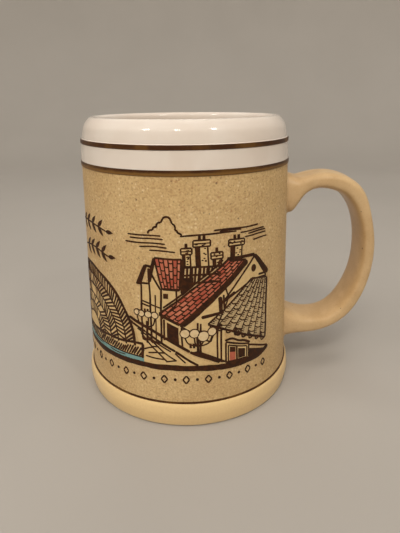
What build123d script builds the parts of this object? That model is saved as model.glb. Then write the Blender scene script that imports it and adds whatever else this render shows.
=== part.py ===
"""Stoneware mug: a tapered cup with a bulged foot, a white rim and a strap handle.

Frame: origin at the centre of the foot ring, on the cup's axis, where the mug rests.
+Z runs up the axis and +X runs out through the handle. Millimetres.
"""

from build123d import *
import math
import os

# ---------------------------------------------------------------- driving dimensions
RIM_HEIGHT = 119.4  # top of the rim
WALL_RADIUS_FOOT = 46.5  # outside of the bare clay wall just above the foot
WALL_RADIUS_COLLAR = 43.0  # the same at the lower edge of the white collar
WALL_RADIUS_TOP = 42.25  # the same at the top of the upper brown band
WALL_THICKNESS = 5.6
FLOOR_TOP = 9.0  # inside floor, glazed

FOOT_HEIGHT = 10.8  # level of the step between foot and wall
FOOT_RADIUS = 48.2  # widest part of the foot
FOOT_SHOULDER = 47.2  # radius of the foot's top edge
FOOT_CONTACT = 46.4  # outer radius of the ring that touches the table
FOOT_RING_INNER = 39.4  # inner radius of that ring
FOOT_RING_EDGE = 0.7  # bevel along the ring's inner edge
BASE_RECESS = 2.6  # how far the middle of the base is raised
RECESS_SLOPE = 1.5  # run of the slope between the ring and the recess

GLAZE = 0.3  # thickness of the white glaze
COLLAR_BOTTOM = 103.2  # lower edge of the white collar
UPPER_BAND_BOTTOM = 109.7
UPPER_BAND_TOP = 111.4
UPPER_BAND_THICKNESS = 0.2
LOWER_BAND_BOTTOM = 101.1
LOWER_BAND_THICKNESS = 0.35
FOOT_LINE_HEIGHT = 0.7
FOOT_LINE_BOTTOM = 0.45  # thickness at the foot
FOOT_LINE_TOP = 0.2  # thickness at its upper edge
LINE_ROUNDING = 0.8  # radius of a line's edge as a share of its thickness

SLIP = 0.5  # thickness of the joining slip under a handle root
SLIP_MARGIN = 0.6  # how far the slip shows around a root
SLIP_ROUNDING = 0.4  # radius of the slip's outer edge

PRINT_THICKNESS = 0.2
PRINT_BOTTOM = 17.5
PRINT_TOP = 90.0
PRINT_START = -228.0  # degrees about +Z from +X, one side edge of the printed scene
PRINT_SWEEP = 186.0

# Radius and height of points on the bulge of the foot, from the table up
FOOT_CURVE = [(47.65, 2.2), (FOOT_RADIUS, 5.8), (47.95, 8.8)]
# Rim, from the upper band over the crest and down inside: radius, height and the way the
# surface faces there, in degrees from outwards.
RIM = [
    (42.2, 111.6, 4),
    (41.9, 113.4, 9),
    (41.4, 115.6, 22),
    (40.3, 117.6, 42),
    (38.0, RIM_HEIGHT, 90),
    (36.6, 118.6, 140),
    (36.2, 117.2, 178),
    (37.0, 111.6, 188),
]
INNER_CORNER = 9.0  # radius between the inside wall and the floor

SECTION_POWER = 3.2  # superellipse exponent of the handle's section
SECTION_POINTS = 16

# Handle stations from the upper root to the lower root:
# x, z, direction of travel in degrees (0 = outwards, -90 = down), thickness, width
HANDLE_STATIONS = [
    (38.0, 86.9, 0, 17.2, 19.0),
    (44.6, 86.9, 0, 17.0, 19.0),
    (47.3, 87.7, 3, 13.6, 18.6),
    (49.8, 89.8, 7, 9.0, 18.2),
    (54.0, 91.9, 5, 6.9, 17.9),
    (63.2, 92.1, -6, 7.5, 17.6),
    (72.3, 87.7, -43, 7.8, 17.6),
    (78.5, 76.9, -69, 6.3, 17.8),
    (81.6, 62.2, -86, 6.4, 18.0),
    (81.1, 49.8, -97, 6.5, 18.0),
    (77.7, 38.4, -113, 7.0, 18.2),
    (70.4, 28.5, -141, 7.0, 18.5),
    (61.4, 24.5, -172, 8.0, 19.0),
    (53.4, 24.2, -181, 9.8, 19.4),
    (47.8, 24.8, -183, 13.2, 19.9),
    (41.0, 25.0, -180, 15.0, 20.4),
]
UPPER_ROOT = (86.9, 17.0, 19.0)  # centre height, height and width where it meets the wall
LOWER_ROOT = (24.9, 14.2, 20.0)

os.makedirs("parts", exist_ok=True)


# ---------------------------------------------------------------- shared geometry
def wall_radius(height):
    """Outer radius of the bare clay wall: a long taper up to the collar, then a steeper one."""
    if height <= COLLAR_BOTTOM:
        share = (height - FOOT_HEIGHT) / (COLLAR_BOTTOM - FOOT_HEIGHT)
        return WALL_RADIUS_FOOT + (WALL_RADIUS_COLLAR - WALL_RADIUS_FOOT) * share
    share = (height - COLLAR_BOTTOM) / (UPPER_BAND_TOP - COLLAR_BOTTOM)
    return WALL_RADIUS_COLLAR + (WALL_RADIUS_TOP - WALL_RADIUS_COLLAR) * share


def write(builder, label):
    """Label a finished piece and write its STEP file."""
    builder.part.label = label
    export_step(builder.part, f"parts/{label}.step")


def wall_strip(bottom, top, inner, outer):
    """Points of a strip that follows the wall, between two distances from the bare clay."""
    return [
        (wall_radius(bottom) + inner, bottom),
        (wall_radius(bottom) + outer, bottom),
        (wall_radius(top) + outer, top),
        (wall_radius(top) + inner, top),
    ]


def superellipse(thickness, width):
    """Points round a handle section, first along its thickness."""
    points = []
    for step in range(SECTION_POINTS):
        angle = 2 * math.pi * step / SECTION_POINTS
        along = math.copysign(abs(math.cos(angle)) ** (2 / SECTION_POWER), math.cos(angle))
        across = math.copysign(abs(math.sin(angle)) ** (2 / SECTION_POWER), math.sin(angle))
        points.append((along * thickness / 2, across * width / 2))
    return points


# ---------------------------------------------------------------- cup
def cup_section(skin):
    """Half section of the cup: glazed with a skin of 0, or the clay alone, one glaze thinner."""
    collar = wall_radius(UPPER_BAND_TOP) + GLAZE - skin
    rim_points = []
    for radius, height, facing in RIM:
        turn = math.radians(facing)
        rim_points.append((radius - skin * math.cos(turn), height - skin * math.sin(turn)))
    inner_radius_foot = WALL_RADIUS_FOOT - WALL_THICKNESS + skin
    with BuildSketch(Plane.XZ) as section:
        with BuildLine():
            base = Polyline(
                (0, BASE_RECESS),
                (FOOT_RING_INNER - FOOT_RING_EDGE - RECESS_SLOPE, BASE_RECESS),
                (FOOT_RING_INNER - FOOT_RING_EDGE, FOOT_RING_EDGE),
                (FOOT_RING_INNER, 0),
                (FOOT_CONTACT, 0),
            )
            foot = Spline(
                base @ 1,
                *FOOT_CURVE,
                (FOOT_SHOULDER, FOOT_HEIGHT),
                tangents=[(1, 0.15), (-0.75, 1)],
            )
            wall = Polyline(
                foot @ 1,
                (WALL_RADIUS_FOOT, FOOT_HEIGHT),
                (wall_radius(COLLAR_BOTTOM), COLLAR_BOTTOM),
            )
            rim = Spline(*rim_points, tangents=[(-0.05, 1), (0.15, -1)])
            if skin == 0:
                Polyline(
                    wall @ 1,
                    (wall_radius(COLLAR_BOTTOM) + GLAZE, COLLAR_BOTTOM),
                    (collar, UPPER_BAND_TOP),
                    rim @ 0,
                )
            else:
                Polyline(wall @ 1, (collar, UPPER_BAND_TOP), rim @ 0)
            inside = FilletPolyline(
                rim @ 1,
                (inner_radius_foot, FLOOR_TOP - skin),
                (0, FLOOR_TOP - skin),
                radius=INNER_CORNER + skin,
            )
            Line(inside @ 1, (0, BASE_RECESS))
        make_face()
    return section.sketch


with BuildPart() as body:
    with BuildSketch(Plane.XZ):
        add(cup_section(GLAZE))
    revolve(axis=Axis.Z)
write(body, "body")

with BuildPart() as white_glaze:
    with BuildSketch(Plane.XZ):
        add(cup_section(0))
        add(cup_section(GLAZE), mode=Mode.SUBTRACT)
    revolve(axis=Axis.Z)
write(white_glaze, "white_glaze")


# ---------------------------------------------------------------- lines round the cup
with BuildPart() as upper_brown_band:
    with BuildSketch(Plane.XZ):
        with BuildLine():
            Polyline(
                *wall_strip(
                    UPPER_BAND_BOTTOM, UPPER_BAND_TOP, GLAZE, GLAZE + UPPER_BAND_THICKNESS
                ),
                close=True,
            )
        make_face()
    revolve(axis=Axis.Z)
    outer_edges = upper_brown_band.edges().filter_by(GeomType.CIRCLE).sort_by(SortBy.RADIUS)[-2:]
    fillet(outer_edges, radius=UPPER_BAND_THICKNESS * LINE_ROUNDING)
write(upper_brown_band, "upper_brown_band")

with BuildPart() as lower_brown_band:
    with BuildSketch(Plane.XZ):
        with BuildLine():
            Polyline(
                *wall_strip(LOWER_BAND_BOTTOM, COLLAR_BOTTOM, 0, LOWER_BAND_THICKNESS),
                close=True,
            )
        make_face()
    revolve(axis=Axis.Z)
    lower_edge = lower_brown_band.edges().filter_by(GeomType.CIRCLE).sort_by(SortBy.RADIUS)[-1]
    fillet(lower_edge, radius=LOWER_BAND_THICKNESS * LINE_ROUNDING)
write(lower_brown_band, "lower_brown_band")

# The foot line fills the corner between the foot's top edge and the wall, thinning upwards.
with BuildPart() as foot_line:
    with BuildSketch(Plane.XZ):
        with BuildLine():
            line_top = FOOT_HEIGHT + FOOT_LINE_HEIGHT
            Polyline(
                (WALL_RADIUS_FOOT, FOOT_HEIGHT),
                (WALL_RADIUS_FOOT + FOOT_LINE_BOTTOM, FOOT_HEIGHT),
                (wall_radius(line_top) + FOOT_LINE_TOP, line_top),
                (wall_radius(line_top), line_top),
                close=True,
            )
        make_face()
    revolve(axis=Axis.Z)
write(foot_line, "foot_line")


# ---------------------------------------------------------------- printed scene
with BuildPart() as transfer_print:
    with BuildSketch(Plane.XZ.rotated((0, 0, PRINT_START))):
        with BuildLine():
            Polyline(*wall_strip(PRINT_BOTTOM, PRINT_TOP, 0, PRINT_THICKNESS), close=True)
        make_face()
    revolve(axis=Axis.Z, revolution_arc=PRINT_SWEEP)
write(transfer_print, "transfer_print")


# ---------------------------------------------------------------- handle and its joints
def wall_solid(outward):
    """The cup's outer cone filled solid, grown outwards, for cutting what meets the wall."""
    with BuildPart() as cone:
        with BuildSketch(Plane.XZ):
            with BuildLine():
                Polyline(
                    (0, 0),
                    (wall_radius(0) + outward, 0),
                    (wall_radius(COLLAR_BOTTOM) + outward, COLLAR_BOTTOM),
                    (0, COLLAR_BOTTOM),
                    close=True,
                )
            make_face()
        revolve(axis=Axis.Z)
    return cone.part


def slip_joint(root):
    """Pad of joining slip under a handle root, its outer edge rounded off."""
    centre, height, width = root
    start = WALL_RADIUS_TOP - WALL_THICKNESS / 2
    with BuildPart() as pad:
        with BuildSketch(Plane(origin=(start, 0, centre), x_dir=(0, 0, 1), z_dir=(1, 0, 0))):
            with BuildLine():
                Spline(
                    *superellipse(height + 2 * SLIP_MARGIN, width + 2 * SLIP_MARGIN),
                    periodic=True,
                )
            make_face()
        extrude(amount=WALL_THICKNESS * 2)
        add(wall_solid(SLIP), mode=Mode.INTERSECT)
        add(wall_solid(0), mode=Mode.SUBTRACT)
        fillet(pad.faces().sort_by(Axis.X)[-1].edges(), radius=SLIP_ROUNDING)
    return pad.part


with BuildPart() as upper_slip_joint:
    add(slip_joint(UPPER_ROOT))
write(upper_slip_joint, "upper_slip_joint")

with BuildPart() as lower_slip_joint:
    add(slip_joint(LOWER_ROOT))
write(lower_slip_joint, "lower_slip_joint")

with BuildPart() as handle:
    for x, z, travel, thickness, width in HANDLE_STATIONS:
        turn = math.radians(travel)
        forward = (math.cos(turn), 0, math.sin(turn))
        outward = (-math.sin(turn), 0, math.cos(turn))
        with BuildSketch(Plane(origin=(x, 0, z), x_dir=outward, z_dir=forward)):
            with BuildLine():
                Spline(*superellipse(thickness, width), periodic=True)
            make_face()
    loft()
    add(wall_solid(SLIP), mode=Mode.SUBTRACT)
write(handle, "handle")
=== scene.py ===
"""Looks of the stoneware mug: its glazes, the printed townscape, floor, light and camera.

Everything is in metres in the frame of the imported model, except that the printed scene
is drawn in millimetres on the unrolled wall and then wrapped round it.
"""

import math
import random

import bpy
from mathutils import Matrix, Vector, noise


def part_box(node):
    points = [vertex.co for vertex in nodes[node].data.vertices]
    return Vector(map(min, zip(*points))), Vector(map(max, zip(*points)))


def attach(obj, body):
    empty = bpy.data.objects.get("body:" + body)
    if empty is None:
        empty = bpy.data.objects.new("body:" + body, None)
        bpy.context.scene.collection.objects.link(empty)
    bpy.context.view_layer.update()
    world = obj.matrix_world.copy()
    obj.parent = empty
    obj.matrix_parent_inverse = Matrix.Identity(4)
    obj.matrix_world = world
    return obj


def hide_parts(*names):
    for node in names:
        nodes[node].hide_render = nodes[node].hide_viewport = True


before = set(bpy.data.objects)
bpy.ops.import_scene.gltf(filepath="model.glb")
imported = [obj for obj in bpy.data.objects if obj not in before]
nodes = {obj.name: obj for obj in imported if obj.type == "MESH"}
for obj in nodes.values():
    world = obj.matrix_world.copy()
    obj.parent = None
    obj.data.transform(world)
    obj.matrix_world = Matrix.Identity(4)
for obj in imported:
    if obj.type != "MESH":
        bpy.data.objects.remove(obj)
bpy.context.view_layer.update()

MM = 0.001

# ---------------------------------------------------------------- driving values
CAMERA_PLACE = Vector((0.0, -0.19265, 0.12596))
CAMERA_PITCH = 0.366  # radians below the horizon
CAMERA_YAW = 0.030
CAMERA_ROLL = -0.009
CAMERA_LENS = 29.72  # mm
CAMERA_SENSOR = 36.0  # mm along the picture's long side

STAGE_RADIUS = 0.75  # flat part of the floor
STAGE_CURVE = 0.35  # radius of the bend between floor and wall
STAGE_HEIGHT = 1.0
STAGE_SIDES = 96
STAGE_BEND_STEPS = 12
STAGE_SINK = 0.00005  # how far the floor lies under the mug, so that the two don't share a surface
LIT_POINT = Vector((0.0, 0.0, 0.06))  # what every light is pointed at

PRINT_FRONT = -math.pi / 2  # angle about +Z of the printed scene's zero
PRINT_LEFT = -108.0  # mm along the wall, where the scene starts
BURIED = -0.08  # how far every printed shape reaches into the wall, mm
FILL_LIFT = 0.03  # mm above the wall
COLOUR_LIFT = 0.06
LINE_LIFT = 0.12
GLASS_LIFT = 0.16  # lamp globes, in front of the lines
FRONT_LIFT = 0.20  # lines of what stands in front
STAGGER = 0.002  # mm between the tops of neighbouring shapes, so that none share a surface
STAGGERS = 6  # shapes before the stagger starts again
LINE_WEIGHT = 1.3  # every pen stroke's width is multiplied by this
PRESSURE = 0.18  # how much a stroke's width comes and goes, as a share
PRESSURE_SCALE = 0.35  # changes of pressure per mm
THIN_END = 0.25  # width of a stroke at its very end, as a share
END_STEP = 0.35  # first and last step of a stroke, in widths times taper
PEN_SECTION = ((-1, 0.45), (0, 1.0), (1, 0.45))  # side and share of the height across a stroke
TINY = 1e-6  # mm, under which two points count as one
WOBBLE = 0.35  # how far the drawing hand strays, mm
WOBBLE_SCALE = 0.11  # strays per mm
STEP = 1.6  # longest piece of a printed shape along the wall, mm
CIRCLE_SIDES = 14  # of a circle drawn with the pen
DISC_SIDES = 16
DISC_CENTRE = 0.02  # radius of the point in a disc's middle, as a share
TILE_GAP = 0.06  # how far a roof tile's colour stays inside its outline, as a share
CAP_HEIGHT = 2.4  # of a chimney's cap, mm


# ---------------------------------------------------------------- small helpers
def linear(red, green, blue):
    """Linear colour of an sRGB one given as 0 to 255."""
    made = []
    for part in (red, green, blue):
        share = part / 255
        made.append(share / 12.92 if share <= 0.04045 else ((share + 0.055) / 1.055) ** 2.4)
    return (*made, 1.0)


def mesh_object(name, verts, faces, smooth=True):
    """A new object of these vertices and faces, linked to the scene."""
    mesh = bpy.data.meshes.new(name)
    mesh.from_pydata(verts, [], faces)
    mesh.validate()
    mesh.polygons.foreach_set("use_smooth", [smooth] * len(mesh.polygons))
    made = bpy.data.objects.new(name, mesh)
    bpy.context.scene.collection.objects.link(made)
    return made


# ---------------------------------------------------------------- shader helpers
def node(tree, kind, inputs=None, **settings):
    """A shader node with its settings and its inputs, each a value or another node's socket."""
    made = tree.nodes.new(kind)
    for key, value in settings.items():
        setattr(made, key, value)
    for key, value in (inputs or {}).items():
        if isinstance(value, bpy.types.NodeSocket):
            tree.links.new(value, made.inputs[key])
        else:
            made.inputs[key].default_value = value
    return made


def maths(tree, operation, first, second=0.0):
    """Result of a maths node on two values or sockets."""
    return node(tree, "ShaderNodeMath", {0: first, 1: second}, operation=operation).outputs[0]


def scaled(tree, value, share):
    """A socket's value times a number."""
    return maths(tree, "MULTIPLY", value, share)


def blend(tree, factor, first, second):
    """Colour between two colours."""
    made = node(tree, "ShaderNodeMix", {0: factor, 6: first, 7: second}, data_type="RGBA")
    return made.outputs[2]


def between(tree, value, low, high):
    """0 below low, 1 above high, smooth between."""
    made = node(
        tree,
        "ShaderNodeMapRange",
        {"Value": value, "From Min": low, "From Max": high},
        interpolation_type="SMOOTHSTEP",
    )
    return made.outputs["Result"]


def cloudy(tree, place, scale, detail=3.0, distortion=0.0):
    """Noise from 0 to 1."""
    made = node(
        tree,
        "ShaderNodeTexNoise",
        {"Vector": place, "Scale": scale, "Detail": detail, "Distortion": distortion},
    )
    return made.outputs[0]


def specks(tree, place, cell, share, size, softness):
    """Mask of round specks: about one for each cell (metres) times share, size in cells."""
    made = node(tree, "ShaderNodeTexVoronoi", {"Vector": place, "Scale": 1 / cell})
    parts = node(tree, "ShaderNodeSeparateColor", {0: made.outputs["Color"]})
    present = maths(tree, "LESS_THAN", parts.outputs[0], share)
    radius = maths(tree, "MULTIPLY", maths(tree, "ADD", parts.outputs[1], 0.35), size)
    shrunk = maths(tree, "DIVIDE", made.outputs["Distance"], radius)
    inside = between(tree, shrunk, 1.0, 1.0 - softness)
    return maths(tree, "MULTIPLY", inside, present)


def place_of(tree):
    """Place on the object in metres, as a vector and as x, y, z."""
    place = node(tree, "ShaderNodeTexCoord").outputs["Object"]
    parts = node(tree, "ShaderNodeSeparateXYZ", {0: place})
    return place, parts.outputs


def new_material(name):
    """A material with only its output and a Principled shader, and that shader."""
    material = bpy.data.materials.new(name)
    material.use_nodes = True
    tree = material.node_tree
    tree.nodes.clear()
    shader = node(tree, "ShaderNodeBsdfPrincipled")
    output = node(tree, "ShaderNodeOutputMaterial")
    tree.links.new(shader.outputs[0], output.inputs["Surface"])
    return material, tree, shader


def bump(tree, shader, height, strength, distance):
    """Raises the surface by a height socket times distance, in metres."""
    made = node(
        tree,
        "ShaderNodeBump",
        {"Height": height, "Strength": strength, "Distance": distance},
    )
    tree.links.new(made.outputs[0], shader.inputs["Normal"])


# ---------------------------------------------------------------- materials
# Rust, pale, brown and dark specks: cell in metres, share of cells, size in cells, softness,
# strength and colour.
SPECK_LAYERS = (
    (0.0013, 0.60, 0.36, 0.7, 0.48, linear(168, 108, 62)),
    (0.0015, 0.50, 0.32, 0.7, 0.55, linear(240, 220, 176)),
    (0.0009, 0.45, 0.34, 0.6, 0.46, linear(120, 80, 46)),
    (0.0026, 0.30, 0.15, 0.5, 0.66, linear(84, 54, 32)),
)
# Where the dry clay under the foot ends, each as the value where it is gone and where it is full.
DRY_HEIGHT = (0.0011, 0.0007)
RECESS_RADIUS = (0.0398, 0.0392)
RECESS_HEIGHT = (0.0034, 0.0030)


def speckle(tree, place, colour, amount):
    """The colour with every layer of specks on it, and the mask of the last, dark one."""
    for cell, share, size, softness, strength, speck in SPECK_LAYERS:
        mask = specks(tree, place, cell, share, size, softness)
        shown = maths(tree, "MULTIPLY", scaled(tree, mask, strength), amount)
        colour = blend(tree, shown, colour, speck)
    return colour, mask


def dry_clay(tree, x, y, z):
    """Mask of the clay under the foot that the glaze leaves bare."""
    across = node(tree, "ShaderNodeCombineXYZ", {0: x, 1: y})
    radius = node(tree, "ShaderNodeVectorMath", {0: across.outputs[0]}, operation="LENGTH")
    resting = between(tree, z, *DRY_HEIGHT)
    inward = between(tree, radius.outputs["Value"], *RECESS_RADIUS)
    recess = maths(tree, "MULTIPLY", inward, between(tree, z, *RECESS_HEIGHT))
    return maths(tree, "MAXIMUM", resting, recess)


def wall_stoneware():
    """Tan glazed clay of the cup: mottled and speckled, paler foot, dry underneath."""
    material, tree, shader = new_material("speckled_tan_stoneware")
    place, (x, y, z) = place_of(tree)
    foot_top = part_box("foot_line")[0].z

    mottle = between(tree, cloudy(tree, place, 38.0, 4.0, 0.6), 0.35, 0.68)
    patches = cloudy(tree, place, 190.0, 3.0)
    grain = cloudy(tree, place, 1250.0, 3.0)
    colour = blend(tree, mottle, linear(210, 178, 126), linear(198, 164, 112))
    pale = scaled(tree, between(tree, patches, 0.45, 0.75), 0.40)
    colour = blend(tree, pale, colour, linear(220, 190, 134))
    rusty = scaled(tree, between(tree, grain, 0.50, 0.66), 0.42)
    colour = blend(tree, rusty, colour, linear(164, 120, 74))
    light = scaled(tree, between(tree, grain, 0.46, 0.32), 0.35)
    colour = blend(tree, light, colour, linear(236, 212, 162))

    amount = maths(tree, "ADD", scaled(tree, between(tree, z, 0.030, 0.080), 0.45), 0.55)
    colour, dark = speckle(tree, place, colour, amount)
    footed = between(tree, z, foot_top + 0.0001, foot_top - 0.0001)
    colour = blend(tree, scaled(tree, footed, 0.80), colour, linear(238, 206, 150))
    dry = dry_clay(tree, x, y, z)
    bare = blend(tree, grain, linear(196, 172, 136), linear(226, 205, 170))
    colour = blend(tree, dry, colour, bare)
    tree.links.new(colour, shader.inputs["Base Color"])

    rough = maths(tree, "ADD", scaled(tree, patches, 0.20), 0.42)
    rough = maths(tree, "SUBTRACT", rough, scaled(tree, footed, 0.14))
    rough = maths(tree, "ADD", rough, scaled(tree, dry, 0.40))
    tree.links.new(rough, shader.inputs["Roughness"])

    rings = node(tree, "ShaderNodeCombineXYZ", {2: scaled(tree, z, 260.0)})
    throwing = cloudy(tree, rings.outputs[0], 1.0, 2.0)
    height = maths(tree, "ADD", scaled(tree, grain, 0.30), scaled(tree, patches, 0.8))
    height = maths(tree, "ADD", height, scaled(tree, throwing, 0.8))
    height = maths(tree, "SUBTRACT", height, scaled(tree, dark, 0.30))
    bump(tree, shader, height, 0.50, 0.00012)
    return material


def handle_stoneware():
    """Tan satin glaze of the handle: smoother and paler than the wall, faintly speckled."""
    material, tree, shader = new_material("satin_tan_stoneware")
    place, _ = place_of(tree)
    mottle = between(tree, cloudy(tree, place, 55.0, 4.0, 0.6), 0.35, 0.68)
    patches = cloudy(tree, place, 230.0, 3.0)
    grain = cloudy(tree, place, 1250.0, 3.0)
    colour = blend(tree, mottle, linear(208, 176, 130), linear(196, 162, 116))
    rusty = scaled(tree, between(tree, grain, 0.50, 0.70), 0.20)
    colour = blend(tree, rusty, colour, linear(170, 126, 80))
    pale = scaled(tree, between(tree, patches, 0.45, 0.75), 0.35)
    colour = blend(tree, pale, colour, linear(218, 188, 142))
    fleck = specks(tree, place, 0.0034, 0.30, 0.12, 0.5)
    colour = blend(tree, scaled(tree, fleck, 0.70), colour, linear(92, 60, 36))
    tree.links.new(colour, shader.inputs["Base Color"])
    rough = maths(tree, "ADD", scaled(tree, patches, 0.16), 0.24)
    tree.links.new(rough, shader.inputs["Roughness"])
    height = maths(tree, "ADD", scaled(tree, grain, 0.10), scaled(tree, patches, 0.7))
    bump(tree, shader, height, 0.40, 0.00010)
    return material


def white_glaze():
    """Cream white gloss glaze, slightly uneven, with a few pinholes."""
    material, tree, shader = new_material("cream_white_glaze")
    place, _ = place_of(tree)
    pooled = cloudy(tree, place, 45.0, 3.0, 0.4)
    thick = between(tree, pooled, 0.3, 0.7)
    cream_white = blend(tree, thick, linear(234, 223, 211), linear(227, 213, 199))
    fleck = specks(tree, place, 0.0075, 0.22, 0.035, 0.6)
    colour = blend(tree, scaled(tree, fleck, 0.55), cream_white, linear(168, 134, 98))
    tree.links.new(colour, shader.inputs["Base Color"])
    rough = maths(tree, "ADD", scaled(tree, pooled, 0.08), 0.06)
    tree.links.new(rough, shader.inputs["Roughness"])
    shader.inputs["Coat Weight"].default_value = 0.4
    shader.inputs["Coat Roughness"].default_value = 0.04
    shader.inputs["IOR"].default_value = 1.52
    wave = cloudy(tree, place, 70.0, 1.0)
    ripple = maths(tree, "ADD", wave, scaled(tree, cloudy(tree, place, 420.0, 1.0), 0.08))
    bump(tree, shader, ripple, 0.30, 0.0006)
    return material


def band_brown():
    """Iron brown underglaze: darkest in the upper band, running to olive at each lower edge."""
    material, tree, shader = new_material("iron_brown_line")
    place, (_, _, z) = place_of(tree)
    low, high = (corner.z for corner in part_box("lower_brown_band"))
    drift = maths(tree, "SUBTRACT", cloudy(tree, place, 420.0, 3.0), 0.5)
    level = maths(tree, "ADD", z, scaled(tree, drift, 0.0007))
    olive = between(tree, level, low + (high - low) * 0.72, low + (high - low) * 0.34)
    in_band = between(tree, z, low - 0.010, low - 0.009)
    streak = cloudy(tree, place, 300.0, 3.0)
    thin = between(tree, cloudy(tree, place, 90.0, 3.0), 0.46, 0.66)
    dark = blend(tree, streak, linear(52, 26, 6), linear(80, 46, 16))
    dark = blend(tree, scaled(tree, thin, 0.8), dark, linear(104, 70, 26))
    faded = scaled(tree, maths(tree, "MULTIPLY", olive, in_band), 0.85)
    colour = blend(tree, faded, dark, linear(126, 90, 42))
    tree.links.new(colour, shader.inputs["Base Color"])
    rough = maths(tree, "ADD", scaled(tree, streak, 0.20), 0.34)
    tree.links.new(rough, shader.inputs["Roughness"])
    shader.inputs["Specular IOR Level"].default_value = 0.3
    bump(tree, shader, streak, 0.3, 0.00008)
    return material


def ink(name, first, second, roughness, shade=0.0):
    """Printed colour between two shades; shade makes each printed shape differ."""
    material, tree, shader = new_material(name)
    place, _ = place_of(tree)
    worn = between(tree, cloudy(tree, place, 620.0, 4.0, 0.5), 0.35, 0.75)
    factor = worn
    if shade:
        island = node(tree, "ShaderNodeNewGeometry").outputs["Random Per Island"]
        factor = maths(tree, "ADD", scaled(tree, worn, 1.0 - shade), scaled(tree, island, shade))
    tree.links.new(blend(tree, factor, first, second), shader.inputs["Base Color"])
    rough = maths(tree, "ADD", scaled(tree, worn, 0.2), roughness)
    tree.links.new(rough, shader.inputs["Roughness"])
    shader.inputs["Specular IOR Level"].default_value = 0.25
    bump(tree, shader, worn, 0.25, 0.00004)
    return material


def floor_material():
    """Pale matt paper, very slightly mottled."""
    material, tree, shader = new_material("pale_floor")
    place, _ = place_of(tree)
    mottle = cloudy(tree, place, 9.0, 3.0)
    colour = blend(tree, mottle, linear(170, 164, 156), linear(178, 172, 164))
    tree.links.new(colour, shader.inputs["Base Color"])
    shader.inputs["Roughness"].default_value = 0.75
    return material


# ---------------------------------------------------------------- the wall under the print
def wall_radius_finder():
    """Radius of the bare wall, in mm, as a function of the height in mm."""
    points = [vertex.co for vertex in nodes["transfer_print"].data.vertices]
    found = []
    for level in (corner.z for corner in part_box("transfer_print")):
        edge = [math.hypot(p.x, p.y) for p in points if abs(p.z - level) < 0.01 * MM]
        found.append((level / MM, min(edge) / MM))
    (z0, r0), (z1, r1) = found
    return lambda height: r0 + (r1 - r0) * (height - z0) / (z1 - z0)


wall_radius = wall_radius_finder()
WRAP_RADIUS = wall_radius(50.0)


def strayed(u, v):
    """A point of the drawing moved a little, as by a drawing hand."""
    at = Vector((u, v, 0.0)) * WOBBLE_SCALE
    return (
        u + WOBBLE * noise.noise(at),
        v + WOBBLE * noise.noise(at + Vector((31.0, 17.0, 5.0))),
    )


def wrapped(u, v, lift):
    """Place on the wall of a point u along it and v up it, raised by lift, all mm."""
    u, v = strayed(u, v)
    angle = PRINT_FRONT + u / WRAP_RADIUS
    radius = wall_radius(v) + lift
    return (radius * math.cos(angle) * MM, radius * math.sin(angle) * MM, v * MM)


class Layer:
    """Thin closed shapes of one printed colour, gathered into one mesh."""

    def __init__(self, lift):
        self.lift = lift
        self.verts = []
        self.faces = []
        self.shapes = 0

    def slab(self, grid):
        """A closed plate whose top follows a grid of rows of (u, v, share of the lift)."""
        rows, columns = len(grid), len(grid[0])
        first = len(self.verts)
        step = STAGGER * (self.shapes % STAGGERS)
        self.shapes += 1
        for row in grid:
            self.verts += [wrapped(u, v, self.lift * share + step) for u, v, share in row]
        for row in grid:
            self.verts += [wrapped(u, v, BURIED) for u, v, _ in row]
        below = rows * columns

        def at(row, column, under=0):
            """Number of the vertex at this row and column, or of the one under it."""
            return first + under + row * columns + column

        for r in range(rows - 1):
            for c in range(columns - 1):
                self.faces.append((at(r, c), at(r, c + 1), at(r + 1, c + 1), at(r + 1, c)))
                self.faces.append(
                    (at(r, c, below), at(r + 1, c, below), at(r + 1, c + 1, below), at(r, c + 1, below))
                )
            for c, flip in ((0, True), (columns - 1, False)):
                side = (at(r, c), at(r + 1, c), at(r + 1, c, below), at(r, c, below))
                self.faces.append(side if not flip else side[::-1])
        for c in range(columns - 1):
            for r, flip in ((0, False), (rows - 1, True)):
                side = (at(r, c), at(r, c + 1), at(r, c + 1, below), at(r, c, below))
                self.faces.append(side[::-1] if not flip else side)


# ---------------------------------------------------------------- drawing tools
def blend_points(first, second, share):
    """The point a share of the way from the first to the second."""
    return (first[0] + (second[0] - first[0]) * share, first[1] + (second[1] - first[1]) * share)


def distance(first, second):
    """Length between two points of the drawing."""
    return math.hypot(second[0] - first[0], second[1] - first[1])


def smooth_path(points, closed=False):
    """Points along a Catmull-Rom curve through these, close enough together to wrap."""
    count = len(points)
    made = []
    spans = count if closed else count - 1
    for i in range(spans):
        if closed:
            p0, p1, p2, p3 = (points[(i + k - 1) % count] for k in range(4))
        else:
            p0, p1, p2, p3 = (points[min(max(i + k - 1, 0), count - 1)] for k in range(4))
        steps = max(2, math.ceil(distance(p1, p2) / STEP) + 1)
        for s in range(steps):
            t = s / steps
            made.append(
                tuple(
                    0.5
                    * (
                        2 * p1[k]
                        + (p2[k] - p0[k]) * t
                        + (2 * p0[k] - 5 * p1[k] + 4 * p2[k] - p3[k]) * t * t
                        + (3 * p1[k] - p0[k] - 3 * p2[k] + p3[k]) * t**3
                    )
                    for k in (0, 1)
                )
            )
    made.append(made[0] if closed else points[-1])
    return made


def stepped(path):
    """The path with points added, so that no two neighbours are more than a step apart."""
    dense = [path[0]]
    for point in path[1:]:
        start = dense[-1]
        steps = max(1, math.ceil(distance(start, point) / STEP))
        dense += [blend_points(start, point, (k + 1) / steps) for k in range(steps)]
    return dense


def near_end(end, following, reach):
    """A point close to a stroke's end, for drawing its rounding."""
    return blend_points(end, following, min(0.5, reach / max(distance(end, following), TINY)))


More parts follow.
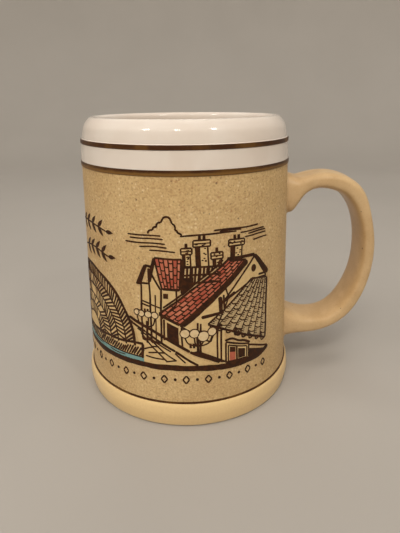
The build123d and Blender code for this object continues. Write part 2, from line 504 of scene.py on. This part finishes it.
def pen(layer, path, width, taper=1.0):
    """A stroke of the pen along a path, round-ended, or thinning over taper widths."""
    has_ends = distance(path[0], path[-1]) >= TINY
    dense = stepped(path)
    if has_ends:
        reach = END_STEP * width * taper
        first = near_end(dense[0], dense[1], reach)
        last = near_end(dense[-1], dense[-2], reach)
        dense = [dense[0], first, *dense[1:-1], last, dense[-1]]
    run = [0.0]
    for before, after in zip(dense, dense[1:]):
        run.append(run[-1] + distance(before, after))
    final = len(dense) - 1
    grid = []
    for i, (u, v) in enumerate(dense):
        if has_ends:
            before, after = dense[max(i - 1, 0)], dense[min(i + 1, final)]
        else:
            before, after = dense[i - 1 if i else -2], dense[i + 1 if i < final else 1]
        length = max(distance(before, after), TINY)
        across = ((before[1] - after[1]) / length, (after[0] - before[0]) / length)
        share = 1.0 + PRESSURE * noise.noise(Vector((u * PRESSURE_SCALE, v * PRESSURE_SCALE, 9.0)))
        if has_ends:
            inward = min(1.0, min(run[i], run[-1] - run[i]) / (0.5 * width * taper))
            share *= THIN_END + (1.0 - THIN_END) * math.sqrt(max(0.0, 1.0 - (1.0 - inward) ** 2))
        half = width * LINE_WEIGHT * share / 2
        grid.append(
            [
                (u + across[0] * half * side, v + across[1] * half * side, height)
                for side, height in PEN_SECTION
            ]
        )
    layer.slab(grid)


def line(layer, points, width=0.55, taper=1.0):
    """Straight pen strokes from point to point."""
    for before, after in zip(points, points[1:]):
        pen(layer, [before, after], width, taper)


def curve(layer, points, width=0.55, closed=False, taper=1.0):
    """One smooth pen stroke through these points."""
    pen(layer, smooth_path(points, closed), width, taper)


def patch(layer, corners, inset=0.0):
    """A filled four-cornered field."""
    centre = (sum(c[0] for c in corners) / 4, sum(c[1] for c in corners) / 4)
    a, b, c, d = (blend_points(corner, centre, inset) for corner in corners)
    across = max(1, math.ceil(max(distance(a, b), distance(d, c)) / STEP))
    along = max(1, math.ceil(max(distance(a, d), distance(b, c)) / STEP))
    grid = []
    for r in range(along + 1):
        left, right = blend_points(a, d, r / along), blend_points(b, c, r / along)
        grid.append([(*blend_points(left, right, k / across), 1.0) for k in range(across + 1)])
    layer.slab(grid)


def on_ellipse(centre, radius, stretch, turn):
    """Point at this turn, in radians, of a circle or of an ellipse stretched up."""
    return (centre[0] + radius * math.cos(turn), centre[1] + radius * stretch * math.sin(turn))


def disc(layer, centre, radius, stretch=1.0):
    """A filled circle, or an ellipse stretched up by stretch."""
    grid = []
    for k in range(DISC_SIDES + 1):
        turn = 2 * math.pi * k / DISC_SIDES
        edge = on_ellipse(centre, radius, stretch, turn)
        middle = on_ellipse(centre, radius * DISC_CENTRE, stretch, turn)
        grid.append([(*edge, 1.0), (*middle, 1.0)])
    layer.slab(grid)


def ring(layer, centre, radius, width=0.5, stretch=1.0):
    """A circle drawn with the pen, or an ellipse stretched up by stretch."""
    turns = [2 * math.pi * k / CIRCLE_SIDES for k in range(CIRCLE_SIDES)]
    curve(layer, [on_ellipse(centre, radius, stretch, turn) for turn in turns], width, closed=True)


def field(corners, s, t):
    """Point of a four-cornered field, s across and t up."""
    a, b, c, d = corners
    return blend_points(blend_points(a, b, s), blend_points(d, c, s), t)


# ---------------------------------------------------------------- things in the printed scene
brown = Layer(LINE_LIFT)
red = Layer(COLOUR_LIFT)
grey = Layer(COLOUR_LIFT)
teal = Layer(COLOUR_LIFT)
cream = Layer(FILL_LIFT)
glass = Layer(GLASS_LIFT)
front = Layer(FRONT_LIFT)
hand = random.Random(7)


def tile_hatching(corners, left, right, low, high):
    """Three short strokes at a tile's left edge."""
    for k in range(3):
        level = low + (high - low) * (0.3 + 0.2 * k)
        start = field(corners, left, level)
        end = field(corners, left + (right - left) * (0.35 + 0.2 * hand.random()), level)
        line(brown, [start, end], 0.32)


def tiled_roof(colour, corners, columns, rows, edge=0.9, hatched=False):
    """A roof of staggered tiles: corners are eave left, eave right, ridge right, ridge left."""
    for i in range(columns):
        left, right = i / columns, (i + 1) / columns
        offset = 0.5 if i % 2 else 0.0
        joints = [(j + offset) / rows for j in range(rows + 1) if 0 < j + offset < rows]
        cuts = [0.0, *joints, 1.0]
        for low, high in zip(cuts, cuts[1:]):
            places = ((left, low), (right, low), (right, high), (left, high))
            tile = [field(corners, s, t) for s, t in places]
            patch(colour, tile, TILE_GAP)
            if low > 0:
                bulge = field(corners, (left + right) / 2, low - 0.12 * (high - low))
                curve(brown, [tile[0], bulge, tile[1]], 0.42)
            if hatched:
                tile_hatching(corners, left, right, low, high)
        if i:
            line(brown, [field(corners, left, 0), field(corners, left, 1)], 0.42)
    eave_left, eave_right, ridge_right, ridge_left = corners
    line(brown, [eave_left, eave_right], edge * 1.2)
    line(brown, [eave_right, ridge_right], edge * 1.3)
    line(brown, [ridge_right, ridge_left, eave_left], edge * 0.8)


def wall(corners, outline=0.6):
    """A pale house wall with a pen outline."""
    patch(cream, corners)
    line(brown, [*corners, corners[0]], outline)


def window(centre, width, height, panes=True):
    """A dark window with its glazing bars left pale."""
    u, v = centre
    w, h = width / 2, height / 2
    if not panes:
        patch(brown, [(u - w, v - h), (u + w, v - h), (u + w, v + h), (u - w, v + h)])
        return
    for side in (-1, 1):
        inner = u + side * 0.18
        outer = u + side * w
        left, right = min(inner, outer), max(inner, outer)
        patch(brown, [(left, v - h), (right, v - h), (right, v + h), (left, v + h)])


def brick_marks(low, high, count):
    """Short dashes standing for brickwork."""
    for _ in range(count):
        u = hand.uniform(low[0], high[0])
        v = hand.uniform(low[1], high[1])
        line(brown, [(u - 0.4, v), (u + 0.4, v)], 0.38)


def chimney(u, base, top, width, pots):
    """A brick stack with a wider cap and pots on it; top is where the cap starts."""
    half = width / 2
    wall([(u - half, base), (u + half, base), (u + half, top), (u - half, top)], 0.5)
    shade = u - half * 0.25
    patch(brown, [(u - half, base), (shade, base), (shade, top), (u - half, top)])
    brick_marks((shade + 0.5, base + 0.8), (u + half - 0.5, top - 0.6), 7)
    cap = half * 1.45
    high = top + CAP_HEIGHT
    wall([(u - cap, top), (u + cap, top), (u + cap, high), (u - cap, high)], 0.5)
    line(brown, [(u - cap, top + CAP_HEIGHT / 2), (u + cap, top + CAP_HEIGHT / 2)], 0.4)
    brick_marks((u - cap + 0.7, top + 0.5), (u + cap - 0.7, high - 0.5), 5)
    for k in range(pots):
        x = u + (k - (pots - 1) / 2) * 1.7
        patch(brown, [(x - 0.6, high), (x + 0.6, high), (x + 0.5, high + 1.8), (x - 0.5, high + 1.8)])


def globe_lamp(foot, top, globes):
    """A street lamp: a post and round globes beside each other, at (offset, height, radius)."""
    line(front, [foot, (foot[0], top)], 0.7)
    for offset, rise, radius in globes:
        centre = (foot[0] + offset, top + rise)
        arm = [(foot[0], top - 2.6), (foot[0] + offset * 0.75, top - 1.6), (centre[0], centre[1] - radius)]
        curve(front, arm, 0.45)
    for offset, rise, radius in globes:
        centre = (foot[0] + offset, top + rise)
        disc(glass, centre, radius)
        ring(front, centre, radius, 0.5)


def cloud(start, bumps, width=0.55):
    """A cloud's upper edge: arcs one after another, each (step along, step up, bulge)."""
    u, v = start
    for du, dv, bulge in bumps:
        end = (u + du, v + dv)
        length = math.hypot(du, dv)
        off = (-dv / length * bulge, du / length * bulge)
        points = [(u, v)]
        for t in (0.22, 0.5, 0.78):
            swell = 1.0 if t == 0.5 else 0.80
            points.append((u + du * t + off[0] * swell, v + dv * t + off[1] * swell))
        points.append(end)
        curve(brown, points, width)
        u, v = end


def gull(centre, span, tilt):
    """A flying gull: two arched wings meeting at the body, one higher than the other."""
    u, v = centre
    for side in (-1, 1):
        rise = side * tilt
        wing = [
            (u, v - 0.3),
            (u + side * span * 0.10, v + span * 0.12 + rise * 0.4),
            (u + side * span * 0.25, v + span * 0.19 + rise),
            (u + side * span * 0.50, v + span * 0.06 + rise * 1.4),
        ]
        curve(brown, wing, 0.75, taper=3.0)


def leaf(foot, tip, width):
    """A pointed leaf filled with ink."""
    length = distance(foot, tip)
    across = ((foot[1] - tip[1]) / length, (tip[0] - foot[0]) / length)
    rows = 8
    grid = []
    for k in range(rows + 1):
        share = k / rows
        u, v = blend_points(foot, tip, share)
        half = width / 2 * max(0.08, math.sin(math.pi * share**0.8))
        reach = (across[0] * half, across[1] * half)
        grid.append([(u + reach[0] * side, v + reach[1] * side, 1.0) for side in (-1, 0, 1)])
    brown.slab(grid)


def sprig(start, end, level, sway):
    """A leafy twig lying along the sky, its leaves in pairs that lean towards its tip."""
    stem = []
    pairs = 5
    for k in range(pairs + 1):
        share = k / pairs
        stem.append((start + (end - start) * share, level + sway * math.sin(math.pi * share)))
    curve(brown, stem, 0.5, taper=2.0)
    forward = math.copysign(1.0, end - start)
    for k in range(1, pairs):
        for side in (-1, 1):
            foot = stem[k]
            leaf(foot, (foot[0] + forward * 3.6, foot[1] + side * 3.3), 1.7)
    leaf(stem[-1], (stem[-1][0] + forward * 4.2, stem[-1][1]), 1.7)


def sky_strokes(strokes, width=0.42):
    """Long flat strokes of sky: (start, end, level, rise)."""
    for start, end, level, rise in strokes:
        middle = ((start + end) / 2, level + rise / 2 + 0.15)
        curve(brown, [(start, level), middle, (end, level + rise)], width, taper=2.0)


def sky():
    """Clouds, flat strokes, twigs and gulls."""
    cloud(
        (-14.6, 80.9),
        [
            (1.9, 1.3, 0.6),
            (1.6, 1.2, 0.6),
            (1.6, 1.8, 0.7),
            (4.2, -0.2, 2.3),
            (0.9, -2.2, 0.6),
            (1.0, -1.2, 0.4),
            (1.5, -0.8, 0.3),
        ],
    )
    sky_strokes(
        [
            (-23.2, -9.8, 80.1, 0.2),
            (-22.4, -9.0, 79.0, 0.1),
            (-24.4, -8.2, 77.4, 0.0),
            (-18.4, -7.6, 76.1, 0.0),
            (-14.4, -4.6, 74.7, 0.0),
        ]
    )
    sky_strokes([(-2.6, 19.0, 80.5, 0.4), (9.8, 29.3, 82.0, -0.1), (12.0, 21.0, 81.4, 0.1)], 0.48)
    sky_strokes(
        [
            (20.5, 32.6, 80.2, 0.0),
            (24.0, 33.4, 79.4, 0.0),
            (22.4, 33.6, 78.3, 0.1),
            (26.5, 34.4, 76.6, 0.1),
        ]
    )
    sprig(-62.0, -35.0, 79.0, 1.6)
    sprig(-57.0, -34.0, 69.4, 1.6)
    gull((-91.0, 67.0), 8.0, 0.7)
    gull((-84.5, 60.5), 7.0, -0.5)
    cloud(
        (-92.0, 79.0),
        [
            (3.0, 1.8, 1.0),
            (3.2, 2.4, 1.4),
            (5.0, 1.2, 2.4),
            (4.0, -2.0, 1.8),
            (3.0, -2.2, 1.0),
            (2.6, -1.2, 0.6),
        ],
    )
    sky_strokes([(-91.0, -74.0, 77.6, 0.2), (-87.0, -70.5, 76.2, 0.1), (-93.0, -79.0, 74.8, 0.0)])
    cloud((-106.0, 82.0), [(2.6, 1.6, 0.8), (3.6, 1.0, 1.6), (3.0, -1.6, 1.2), (2.4, -1.0, 0.6)])
    sky_strokes([(-107.0, -97.0, 80.6, 0.1), (-105.0, -98.0, 79.2, 0.1)])


# The hill's outline is one arch; its terraces are the same arch, smaller.
HILL_MIDDLE = -50.5
HILL_FOOT = 33.0
HILL_WIDTH = 28.5
HILL_RISE = 29.5
HILL_TERRACES = (1.0, 0.85, 0.70, 0.55, 0.40, 0.25)  # each a share of the outline's size


def hill_point(angle, share):
    """Point on the arch of one terrace: angle in degrees from its right foot, share of its size."""
    turn = math.radians(angle)
    return (
        HILL_MIDDLE + HILL_WIDTH * share * math.cos(turn),
        HILL_FOOT + HILL_RISE * share * math.sin(turn) ** 0.9,
    )


def hill():
    """A round hill with terraced fields, rows of planting leaning one way and then the other."""
    patch(cream, [hill_point(angle, 0.95) for angle in (4, 40, 140, 176)])
    for number, share in enumerate(HILL_TERRACES):
        points = [hill_point(angle, share) for angle in range(2, 179, 8)]
        curve(brown, points, 1.0 if number == 0 else 0.6)
    for number, (outer, inner) in enumerate(zip(HILL_TERRACES, HILL_TERRACES[1:])):
        lean = 5.0 if number % 2 else -5.0
        step = 3.4 / outer
        angle = 5.0
        while angle < 175.0:
            dark = 0.5 + 0.5 * math.cos(math.radians(angle))
            if number == 0 or hand.random() < 0.55 + 0.45 * dark:
                leaned = min(176.0, max(4.0, angle + lean / outer))
                line(brown, [hill_point(angle, outer), hill_point(leaned, inner)], 0.34 + 0.3 * dark)
            angle += step * (0.8 + 0.4 * hand.random())


def bank():
    """Hatched stone bank between the hill and the water."""
    patch(cream, [(-84.0, 29.5), (-18.8, 29.5), (-18.2, 36.0), (-84.0, 35.0)])
    curve(brown, [(-84.0, 34.6), (-60.0, 33.4), (-40.0, 34.6), (-28.0, 35.4), (-18.2, 36.2)], 0.8)
    u = -83.0
    while u < -19.6:
        low = 30.3 + 0.5 * hand.random()
        line(brown, [(u, low), (u + 2.2, 33.4 + hand.random() * 1.2)], 0.62)
        u += 1.12 + 0.25 * hand.random()
    line(brown, [(-18.8, 29.8), (-18.4, 36.2)], 0.9)


def water():
    """Teal water with wave strokes, widening into a harbour at the far left."""
    shore = [
        (-106.0, 36.5),
        (-95.0, 36.2),
        (-86.0, 34.5),
        (-78.0, 31.2),
        (-60.0, 30.3),
        (-40.0, 30.0),
        (-18.2, 30.2),
    ]
    for (u0, top0), (u1, top1) in zip(shore, shore[1:]):
        patch(teal, [(u0, 28.1), (u1, 28.1), (u1, top1), (u0, top0)])
    curve(brown, [(u, top + 0.1) for u, top in shore], 0.5)
    for start, end, level in (
        (-104.0, -96.0, 35.0),
        (-99.0, -89.0, 33.4),
        (-105.0, -97.0, 31.8),
        (-93.0, -84.0, 31.2),
        (-102.0, -88.0, 29.8),
        (-80.0, -70.0, 29.6),
        (-66.0, -57.0, 29.4),
        (-52.0, -41.0, 29.3),
        (-36.0, -27.0, 29.2),
    ):
        middle = (start + end) / 2
        curve(brown, [(start, level), (middle, level - 0.35), (end, level + 0.1)], 0.42, taper=2.0)


def sailing_boat(u, v):
    """A small boat with two sails, its keel's middle at u, v."""
    hull = [(u - 4.5, v), (u + 3.5, v), (u + 5.0, v + 2.2), (u - 5.5, v + 2.2)]
    patch(red, hull)
    line(brown, [*hull, hull[0]], 0.7)
    mast = u - 0.5
    line(brown, [(mast, v + 2.2), (mast, v + 17.0)], 0.7)
    for side, reach in ((1, 6.0), (-1, 4.2)):
        foot = (mast + side * 0.5, v + 3.6)
        tip = (mast + side * 0.3, v + 16.2)
        corner = (mast + side * reach, v + 4.2)
        near_tip = blend_points(corner, tip, 0.98)
        patch(cream, [foot, corner, near_tip, tip] if side > 0 else [corner, foot, tip, near_tip])
        line(brown, [foot, corner], 0.55)
        slack = blend_points(blend_points(corner, tip, 0.5), foot, -0.10)
        curve(brown, [corner, slack, tip], 0.6)


def lighthouse(u, base):
    """A small tapered light tower with dark stripes."""
    height = 24.0
    half_foot = 3.4
    half_top = 2.2

    def side(share, sign):
        """Point on the right or left edge of the tower, a share of the way up."""
        return (u + sign * (half_foot + (half_top - half_foot) * share), base + height * share)

    patch(cream, [side(0, -1), side(0, 1), side(1, 1), side(1, -1)])
    for low, high in ((0.12, 0.30), (0.48, 0.66), (0.84, 0.98)):
        patch(red, [side(low, -1), side(low, 1), side(high, 1), side(high, -1)], 0.04)
        line(brown, [side(low, -1), side(low, 1)], 0.45)
        line(brown, [side(high, -1), side(high, 1)], 0.45)
    for sign in (-1, 1):
        line(brown, [side(0, sign), side(1, sign)], 0.7)
    top = base + height
    patch(brown, [(u - 3.0, top), (u + 3.0, top), (u + 3.0, top + 0.9), (u - 3.0, top + 0.9)])
    wall([(u - 1.5, top + 0.9), (u + 1.5, top + 0.9), (u + 1.5, top + 4.0), (u - 1.5, top + 4.0)], 0.55)
    line(brown, [(u, top + 0.9), (u, top + 4.0)], 0.4)
    patch(brown, [(u - 2.1, top + 4.0), (u + 2.1, top + 4.0), (u + 0.3, top + 6.2), (u - 0.3, top + 6.2)])
    line(brown, [(u, top + 6.0), (u, top + 7.6)], 0.5)


def lane():
    """Lane of long paving slabs running down from the hill to the ground line, with kerbs."""
    patch(cream, [(-18.0, 28.6), (9.0, 28.2), (-13.0, 40.5), (-22.5, 45.4)])
    line(brown, [(-24.0, 47.2), (-9.2, 40.0), (0.2, 34.3), (12.0, 28.6)], 0.95)
    line(brown, [(-24.7, 45.9), (-17.2, 41.6), (-5.4, 34.4), (3.4, 28.0)], 0.75)
    joints = (
        [(-20.6, 42.6), (-13.4, 38.0), (-7.0, 34.2)],
        [(-17.4, 40.8), (-13.2, 37.0), (-9.4, 33.4), (-4.9, 30.2)],
        [(-19.2, 40.9), (-15.3, 36.6), (-12.1, 33.4), (-8.8, 29.8)],
        [(-5.6, 33.6), (-1.4, 29.4)],
        [(-9.2, 29.7), (-5.2, 30.4)],
        [(-17.4, 31.5), (-13.4, 31.0), (-9.6, 30.7)],
        [(-17.9, 34.2), (-15.6, 35.2), (-14.2, 35.4)],
        [(-16.2, 33.0), (-12.2, 33.6)],
        [(-18.6, 38.4), (-16.8, 38.0)],
        [(-14.6, 35.8), (-11.6, 36.0)],
        [(-12.4, 33.4), (-9.4, 33.6)],
    )
    for joint in joints:
        curve(brown, joint, 0.5)
    patch(brown, [(1.5, 34.4), (12.6, 28.4), (16.0, 27.8), (3.5, 34.8)])


def left_house():
    """Tall narrow house with a red roof and a lean-to."""
    wall([(-18.4, 38.6), (-14.6, 38.4), (-14.8, 61.8), (-18.2, 61.8)])
    wall([(-14.7, 37.6), (-10.6, 37.6), (-10.4, 59.6), (-14.8, 67.6)])
    tiled_roof(red, [(-9.9, 60.2), (-2.9, 60.2), (-2.3, 71.9), (-12.5, 71.9)], 6, 4, 0.75)
    wall([(-10.4, 48.0), (-4.4, 54.4), (-4.4, 60.2), (-10.2, 60.2)], 0.55)
    patch(brown, [(-20.0, 61.2), (-16.3, 68.4), (-15.2, 68.4), (-18.2, 61.2)])
    line(brown, [(-20.2, 61.3), (-16.2, 68.8), (-12.8, 68.0)], 0.7)
    line(brown, [(-14.7, 62.4), (-12.4, 71.8)], 1.1)
    window((-16.4, 50.2), 1.9, 2.8)
    window((-8.6, 57.4), 1.9, 2.0, panes=False)
    line(brown, [(-18.4, 54.8), (-14.7, 53.8)], 0.5)
    line(brown, [(-18.4, 53.6), (-14.7, 52.6)], 0.5)
    line(brown, [(-14.7, 53.6), (-10.4, 52.4)], 0.5)
    line(brown, [(-12.7, 37.6), (-12.7, 57.6)], 0.45)


def back_houses():
    """Dark slate roof and stacks behind the big roof."""
    for k in range(9):
        u = -2.2 + 1.55 * k
        low = 58.6 + 1.15 * k
        line(brown, [(u, low), (u + 0.4, 68.8)], 0.62 if k % 2 else 0.95)
    for level in (62.6, 65.6, 68.6):
        start = -2.4 + (level - 61.6) * 0.12
        line(brown, [(start, level), (12.6, level + 0.2)], 0.6)
    patch(brown, [(-2.2, 57.8), (2.0, 61.2), (2.0, 64.8), (-2.2, 64.8)])
    chimney(-0.4, 69.0, 73.7, 2.9, 1)
    chimney(5.4, 68.8, 76.4, 4.4, 2)
    chimney(11.0, 68.6, 71.4, 3.2, 1)
    chimney(18.9, 69.8, 75.4, 4.6, 2)


def big_roof():
    """Long red roof falling to the left, its gable end and the wall below."""
    wall([(13.6, 54.4), (27.0, 60.8), (34.4, 60.4), (27.4, 70.0)], 0.6)
    wall([(-3.2, 45.4), (8.2, 38.0), (15.6, 55.6), (14.0, 61.4)], 0.5)
    tiled_roof(red, [(-11.3, 50.1), (-3.1, 45.8), (23.2, 69.2), (15.4, 70.6)], 5, 11, 0.9)
    line(brown, [(-9.6, 52.6), (13.4, 70.8)], 0.6)
    line(brown, [(-2.6, 45.4), (23.8, 68.8)], 1.7)
    line(brown, [(15.0, 70.9), (27.6, 70.5)], 1.0)
    line(brown, [(27.4, 70.4), (35.4, 61.6)], 1.5)
    line(brown, [(35.4, 61.6), (29.8, 62.0)], 0.7)
    disc(brown, (27.0, 65.2), 1.2, 1.25)


def front_wall():
    """Posts, beams and a doorway under the big roof."""
    patch(cream, [(-9.8, 38.0), (14.0, 29.0), (14.0, 46.0), (-9.8, 48.0)])
    patch(brown, [(-8.4, 38.8), (-3.7, 36.8), (-3.7, 44.6), (-8.4, 47.0)], 0.04)
    posts = (
        (-9.4, 39.0, 48.0),
        (-2.6, 36.4, 44.8),
        (3.2, 33.0, 46.6),
        (4.3, 32.6, 46.2),
        (11.0, 29.2, 44.0),
        (12.6, 28.8, 43.6),
    )
    for u, low, high in posts:
        line(brown, [(u, low), (u, high)], 0.6)
    line(brown, [(4.6, 48.6), (12.6, 49.8)], 1.0)
    line(brown, [(12.4, 49.4), (12.2, 56.4)], 1.2)
    line(brown, [(13.8, 50.2), (13.6, 57.0)], 0.6)
    line(brown, [(12.2, 53.4), (18.4, 57.2)], 0.9)
    for k in range(5):
        line(brown, [(-8.0, 40.2 + 1.2 * k), (-4.2, 38.6 + 1.2 * k)], 0.35)
    window((1.2, 37.0), 2.2, 2.0)


def grey_roof():
    """Tiled roof at the right, its eave's round ends and what hangs under it."""
    corners = [(7.2, 45.6), (34.2, 33.0), (34.8, 59.6), (26.2, 61.2)]
    columns = 8
    tiled_roof(grey, corners, columns, 6, 0.7, hatched=True)
    for k in range(columns):
        u, v = field(corners, (k + 0.5) / columns, 0)
        ring(brown, (u, v - 0.5), 0.9, 0.5, 0.7)


def shop_front():
    """Small shop with a red door and a dark window, and the dark slope beside it."""
    wall([(14.6, 27.6), (24.8, 27.2), (24.8, 33.6), (14.6, 36.6)], 0.6)
    wall([(15.6, 28.0), (23.9, 27.6), (23.9, 32.8), (15.6, 35.2)], 0.5)
    patch(red, [(16.2, 28.2), (18.6, 28.2), (18.6, 31.8), (16.2, 32.2)])
    patch(brown, [(16.2, 32.2), (18.6, 31.8), (18.6, 33.8), (16.2, 34.4)])
    patch(brown, [(19.8, 28.4), (23.0, 28.2), (23.0, 32.0), (19.8, 33.0)])
    line(brown, [(19.2, 27.9), (19.2, 34.0)], 0.6)
    curve(brown, [(14.2, 37.2), (17.0, 37.8), (20.0, 36.4), (22.6, 35.8), (25.4, 34.0)], 0.7)
    line(brown, [(24.9, 33.0), (35.8, 28.8)], 0.6)
    patch(brown, [(25.2, 27.0), (33.0, 27.4), (33.0, 28.6), (25.2, 31.2)])
    ring(brown, (19.8, 40.0), 1.3, 0.6)
    ring(brown, (19.8, 40.0), 0.5, 0.4)


def ground_line():
    """Heavy line under the whole scene, its right end lifted and thinning."""
    points = [
        (PRINT_LEFT + 2.0, 28.4),
        (-95.0, 27.5),
        (-70.0, 27.0),
        (-40.0, 26.9),
        (-20.0, 27.2),
        (-4.0, 27.0),
        (10.0, 26.4),
        (20.0, 25.9),
        (27.0, 26.1),
        (32.0, 27.0),
        (36.2, 28.4),
    ]
    pen(brown, smooth_path(points), 1.9, 5.0)


def ornament_row():
    """Row of small diamonds and dots under the ground line."""
    level = 21.7
    spacing = 4.3
    half = 1.3
    for k in range(int((33.0 - PRINT_LEFT) / spacing)):
        u = 33.0 - spacing * k
        if k % 2:
            disc(brown, (u, level), 0.6)
            continue
        diamond = [(u - half, level), (u, level + half * 1.35), (u + half, level), (u, level - half * 1.35)]
        line(brown, [*diamond, diamond[0]], 0.5)


sky()
hill()
bank()
water()
sailing_boat(-94.0, 33.6)
lighthouse(-101.0, 40.0)
lane()
front_wall()
back_houses()
left_house()
big_roof()
grey_roof()
shop_front()
globe_lamp((-16.4, 37.0), 46.4, [(-3.9, 3.4, 1.1), (-2.1, 3.0, 1.25), (0.7, 2.9, 1.3), (3.3, 2.8, 1.3)])
globe_lamp((3.4, 32.8), 39.4, [(-4.8, 2.8, 1.75), (-1.3, 2.8, 1.7), (2.0, 1.5, 2.05), (5.4, 3.0, 1.7)])
ground_line()
ornament_row()

INKS = {
    "print_brown_lines": (brown, ink("brown_ink", linear(46, 22, 6), linear(74, 40, 16), 0.50)),
    "print_front_lines": (front, ink("front_brown_ink", linear(46, 22, 6), linear(74, 40, 16), 0.50)),
    "print_red_tiles": (red, ink("red_ink", linear(206, 128, 98), linear(164, 68, 50), 0.46, 0.8)),
    "print_grey_tiles": (grey, ink("grey_ink", linear(206, 182, 138), linear(166, 140, 102), 0.40, 0.5)),
    "print_teal_water": (teal, ink("teal_ink", linear(122, 160, 156), linear(78, 126, 124), 0.36, 0.5)),
    "print_cream_ground": (cream, ink("cream_ink", linear(218, 188, 134), linear(206, 174, 122), 0.45)),
    "print_lamp_globes": (glass, ink("globe_ink", linear(226, 200, 156), linear(212, 184, 138), 0.40)),
}
for name, (layer, material) in INKS.items():
    piece = mesh_object(name, layer.verts, layer.faces, smooth=False)
    piece.data.materials.append(material)
    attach(piece, "root")
    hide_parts("transfer_print")


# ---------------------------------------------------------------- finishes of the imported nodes
def finish_node(name, material):
    """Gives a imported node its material."""
    data = nodes[name].data
    data.materials.clear()
    data.materials.append(material)


wall_clay = wall_stoneware()
handle_clay = handle_stoneware()
brown_line = band_brown()
finish_node("body", wall_clay)
finish_node("handle", handle_clay)
finish_node("upper_slip_joint", handle_clay)
finish_node("lower_slip_joint", handle_clay)
finish_node("white_glaze", white_glaze())
for line_name in ("upper_brown_band", "lower_brown_band", "foot_line"):
    finish_node(line_name, brown_line)


# ---------------------------------------------------------------- floor, light and camera
def bowl_stage():
    """Round floor that curves up into a wall all round, so that every view has a plain ground."""
    profile = [(radius, 0.0) for radius in (0.2, 0.45, STAGE_RADIUS)]
    for k in range(1, STAGE_BEND_STEPS + 1):
        turn = math.pi / 2 * k / STAGE_BEND_STEPS
        profile.append((STAGE_RADIUS + STAGE_CURVE * math.sin(turn), STAGE_CURVE * (1 - math.cos(turn))))
    profile.append((STAGE_RADIUS + STAGE_CURVE, STAGE_HEIGHT))
    verts = [(0.0, 0.0, -STAGE_SINK)]
    for radius, height in profile:
        for k in range(STAGE_SIDES):
            turn = 2 * math.pi * k / STAGE_SIDES
            verts.append((radius * math.cos(turn), radius * math.sin(turn), height - STAGE_SINK))
    faces = [(0, 1 + k, 1 + (k + 1) % STAGE_SIDES) for k in range(STAGE_SIDES)]
    for level in range(len(profile) - 1):
        for k in range(STAGE_SIDES):
            a = 1 + level * STAGE_SIDES + k
            b = 1 + level * STAGE_SIDES + (k + 1) % STAGE_SIDES
            faces.append((a, a + STAGE_SIDES, b + STAGE_SIDES, b))
    made = mesh_object("floor", verts, faces)
    made.data.materials.append(floor_material())
    return made


# Name, place, size in metres, power in watts and colour of each soft light.
SOFT_LIGHTS = (
    ("key", (-0.30, -1.25, 1.25), 0.75, 22.0, (1.0, 0.95, 0.88)),
    ("left", (-1.30, -0.35, 1.25), 0.50, 5.0, (1.0, 0.95, 0.89)),
    ("right", (1.20, -0.70, 1.30), 0.50, 0.4, (1.0, 0.96, 0.92)),
    ("top", (0.12, -0.10, 1.50), 0.70, 6.0, (1.0, 0.96, 0.92)),
    ("back", (-0.10, 1.25, 1.25), 0.80, 4.5, (1.0, 0.97, 0.93)),
)
CEILING_PLACES = ((-0.58, -0.48, 0.80), (-0.13, -0.74, 0.85), (0.42, -0.55, 0.80))
CEILING_SIZE = 0.08
CEILING_POWER = 0.9
CEILING_COLOUR = (1.0, 0.95, 0.88)
WORLD_COLOUR = (0.86, 0.86, 0.84, 1.0)
WORLD_STRENGTH = 0.24


def area_light(name, place, size, power, colour, mirrored=False):
    """A square light pointed at the mug, seen in its glossy glaze only where mirrored."""
    lamp = bpy.data.lights.new(name, "AREA")
    lamp.shape = "SQUARE"
    lamp.size = size
    lamp.energy = power
    lamp.color = colour
    made = bpy.data.objects.new(name, lamp)
    made.location = place
    made.rotation_euler = (LIT_POINT - Vector(place)).to_track_quat("-Z", "Y").to_euler()
    made.visible_camera = False
    made.visible_glossy = mirrored
    bpy.context.scene.collection.objects.link(made)


def lights():
    """Soft warm key from the front left, weaker fill and top, and small ceiling lamps."""
    for name, place, size, power, colour in SOFT_LIGHTS:
        area_light(name, place, size, power, colour)
    for number, place in enumerate(CEILING_PLACES):
        name = f"ceiling_{number}"
        area_light(name, place, CEILING_SIZE, CEILING_POWER, CEILING_COLOUR, mirrored=True)
    world = bpy.data.worlds.new("studio")
    world.use_nodes = True
    background = world.node_tree.nodes["Background"]
    background.inputs["Color"].default_value = WORLD_COLOUR
    background.inputs["Strength"].default_value = WORLD_STRENGTH
    bpy.context.scene.world = world
    bpy.context.scene.view_settings.view_transform = "Standard"


def camera():
    """Camera a hand's breadth away, looking down at the mug."""
    forward = Vector(
        (
            math.sin(CAMERA_YAW) * math.cos(CAMERA_PITCH),
            math.cos(CAMERA_YAW) * math.cos(CAMERA_PITCH),
            -math.sin(CAMERA_PITCH),
        )
    )
    right = Vector((math.cos(CAMERA_YAW), -math.sin(CAMERA_YAW), 0.0))
    up = right.cross(forward)
    side = right * math.cos(CAMERA_ROLL) + up * math.sin(CAMERA_ROLL)
    above = up * math.cos(CAMERA_ROLL) - right * math.sin(CAMERA_ROLL)
    data = bpy.data.cameras.new("camera")
    data.lens = CAMERA_LENS
    data.sensor_width = CAMERA_SENSOR
    data.clip_start = 0.01
    made = bpy.data.objects.new("camera", data)
    turn = Matrix((side, above, -forward)).transposed().to_4x4()
    made.matrix_world = Matrix.Translation(CAMERA_PLACE) @ turn
    bpy.context.scene.collection.objects.link(made)
    bpy.context.scene.camera = made


bowl_stage()
lights()
camera()

bpy.context.view_layer.update()
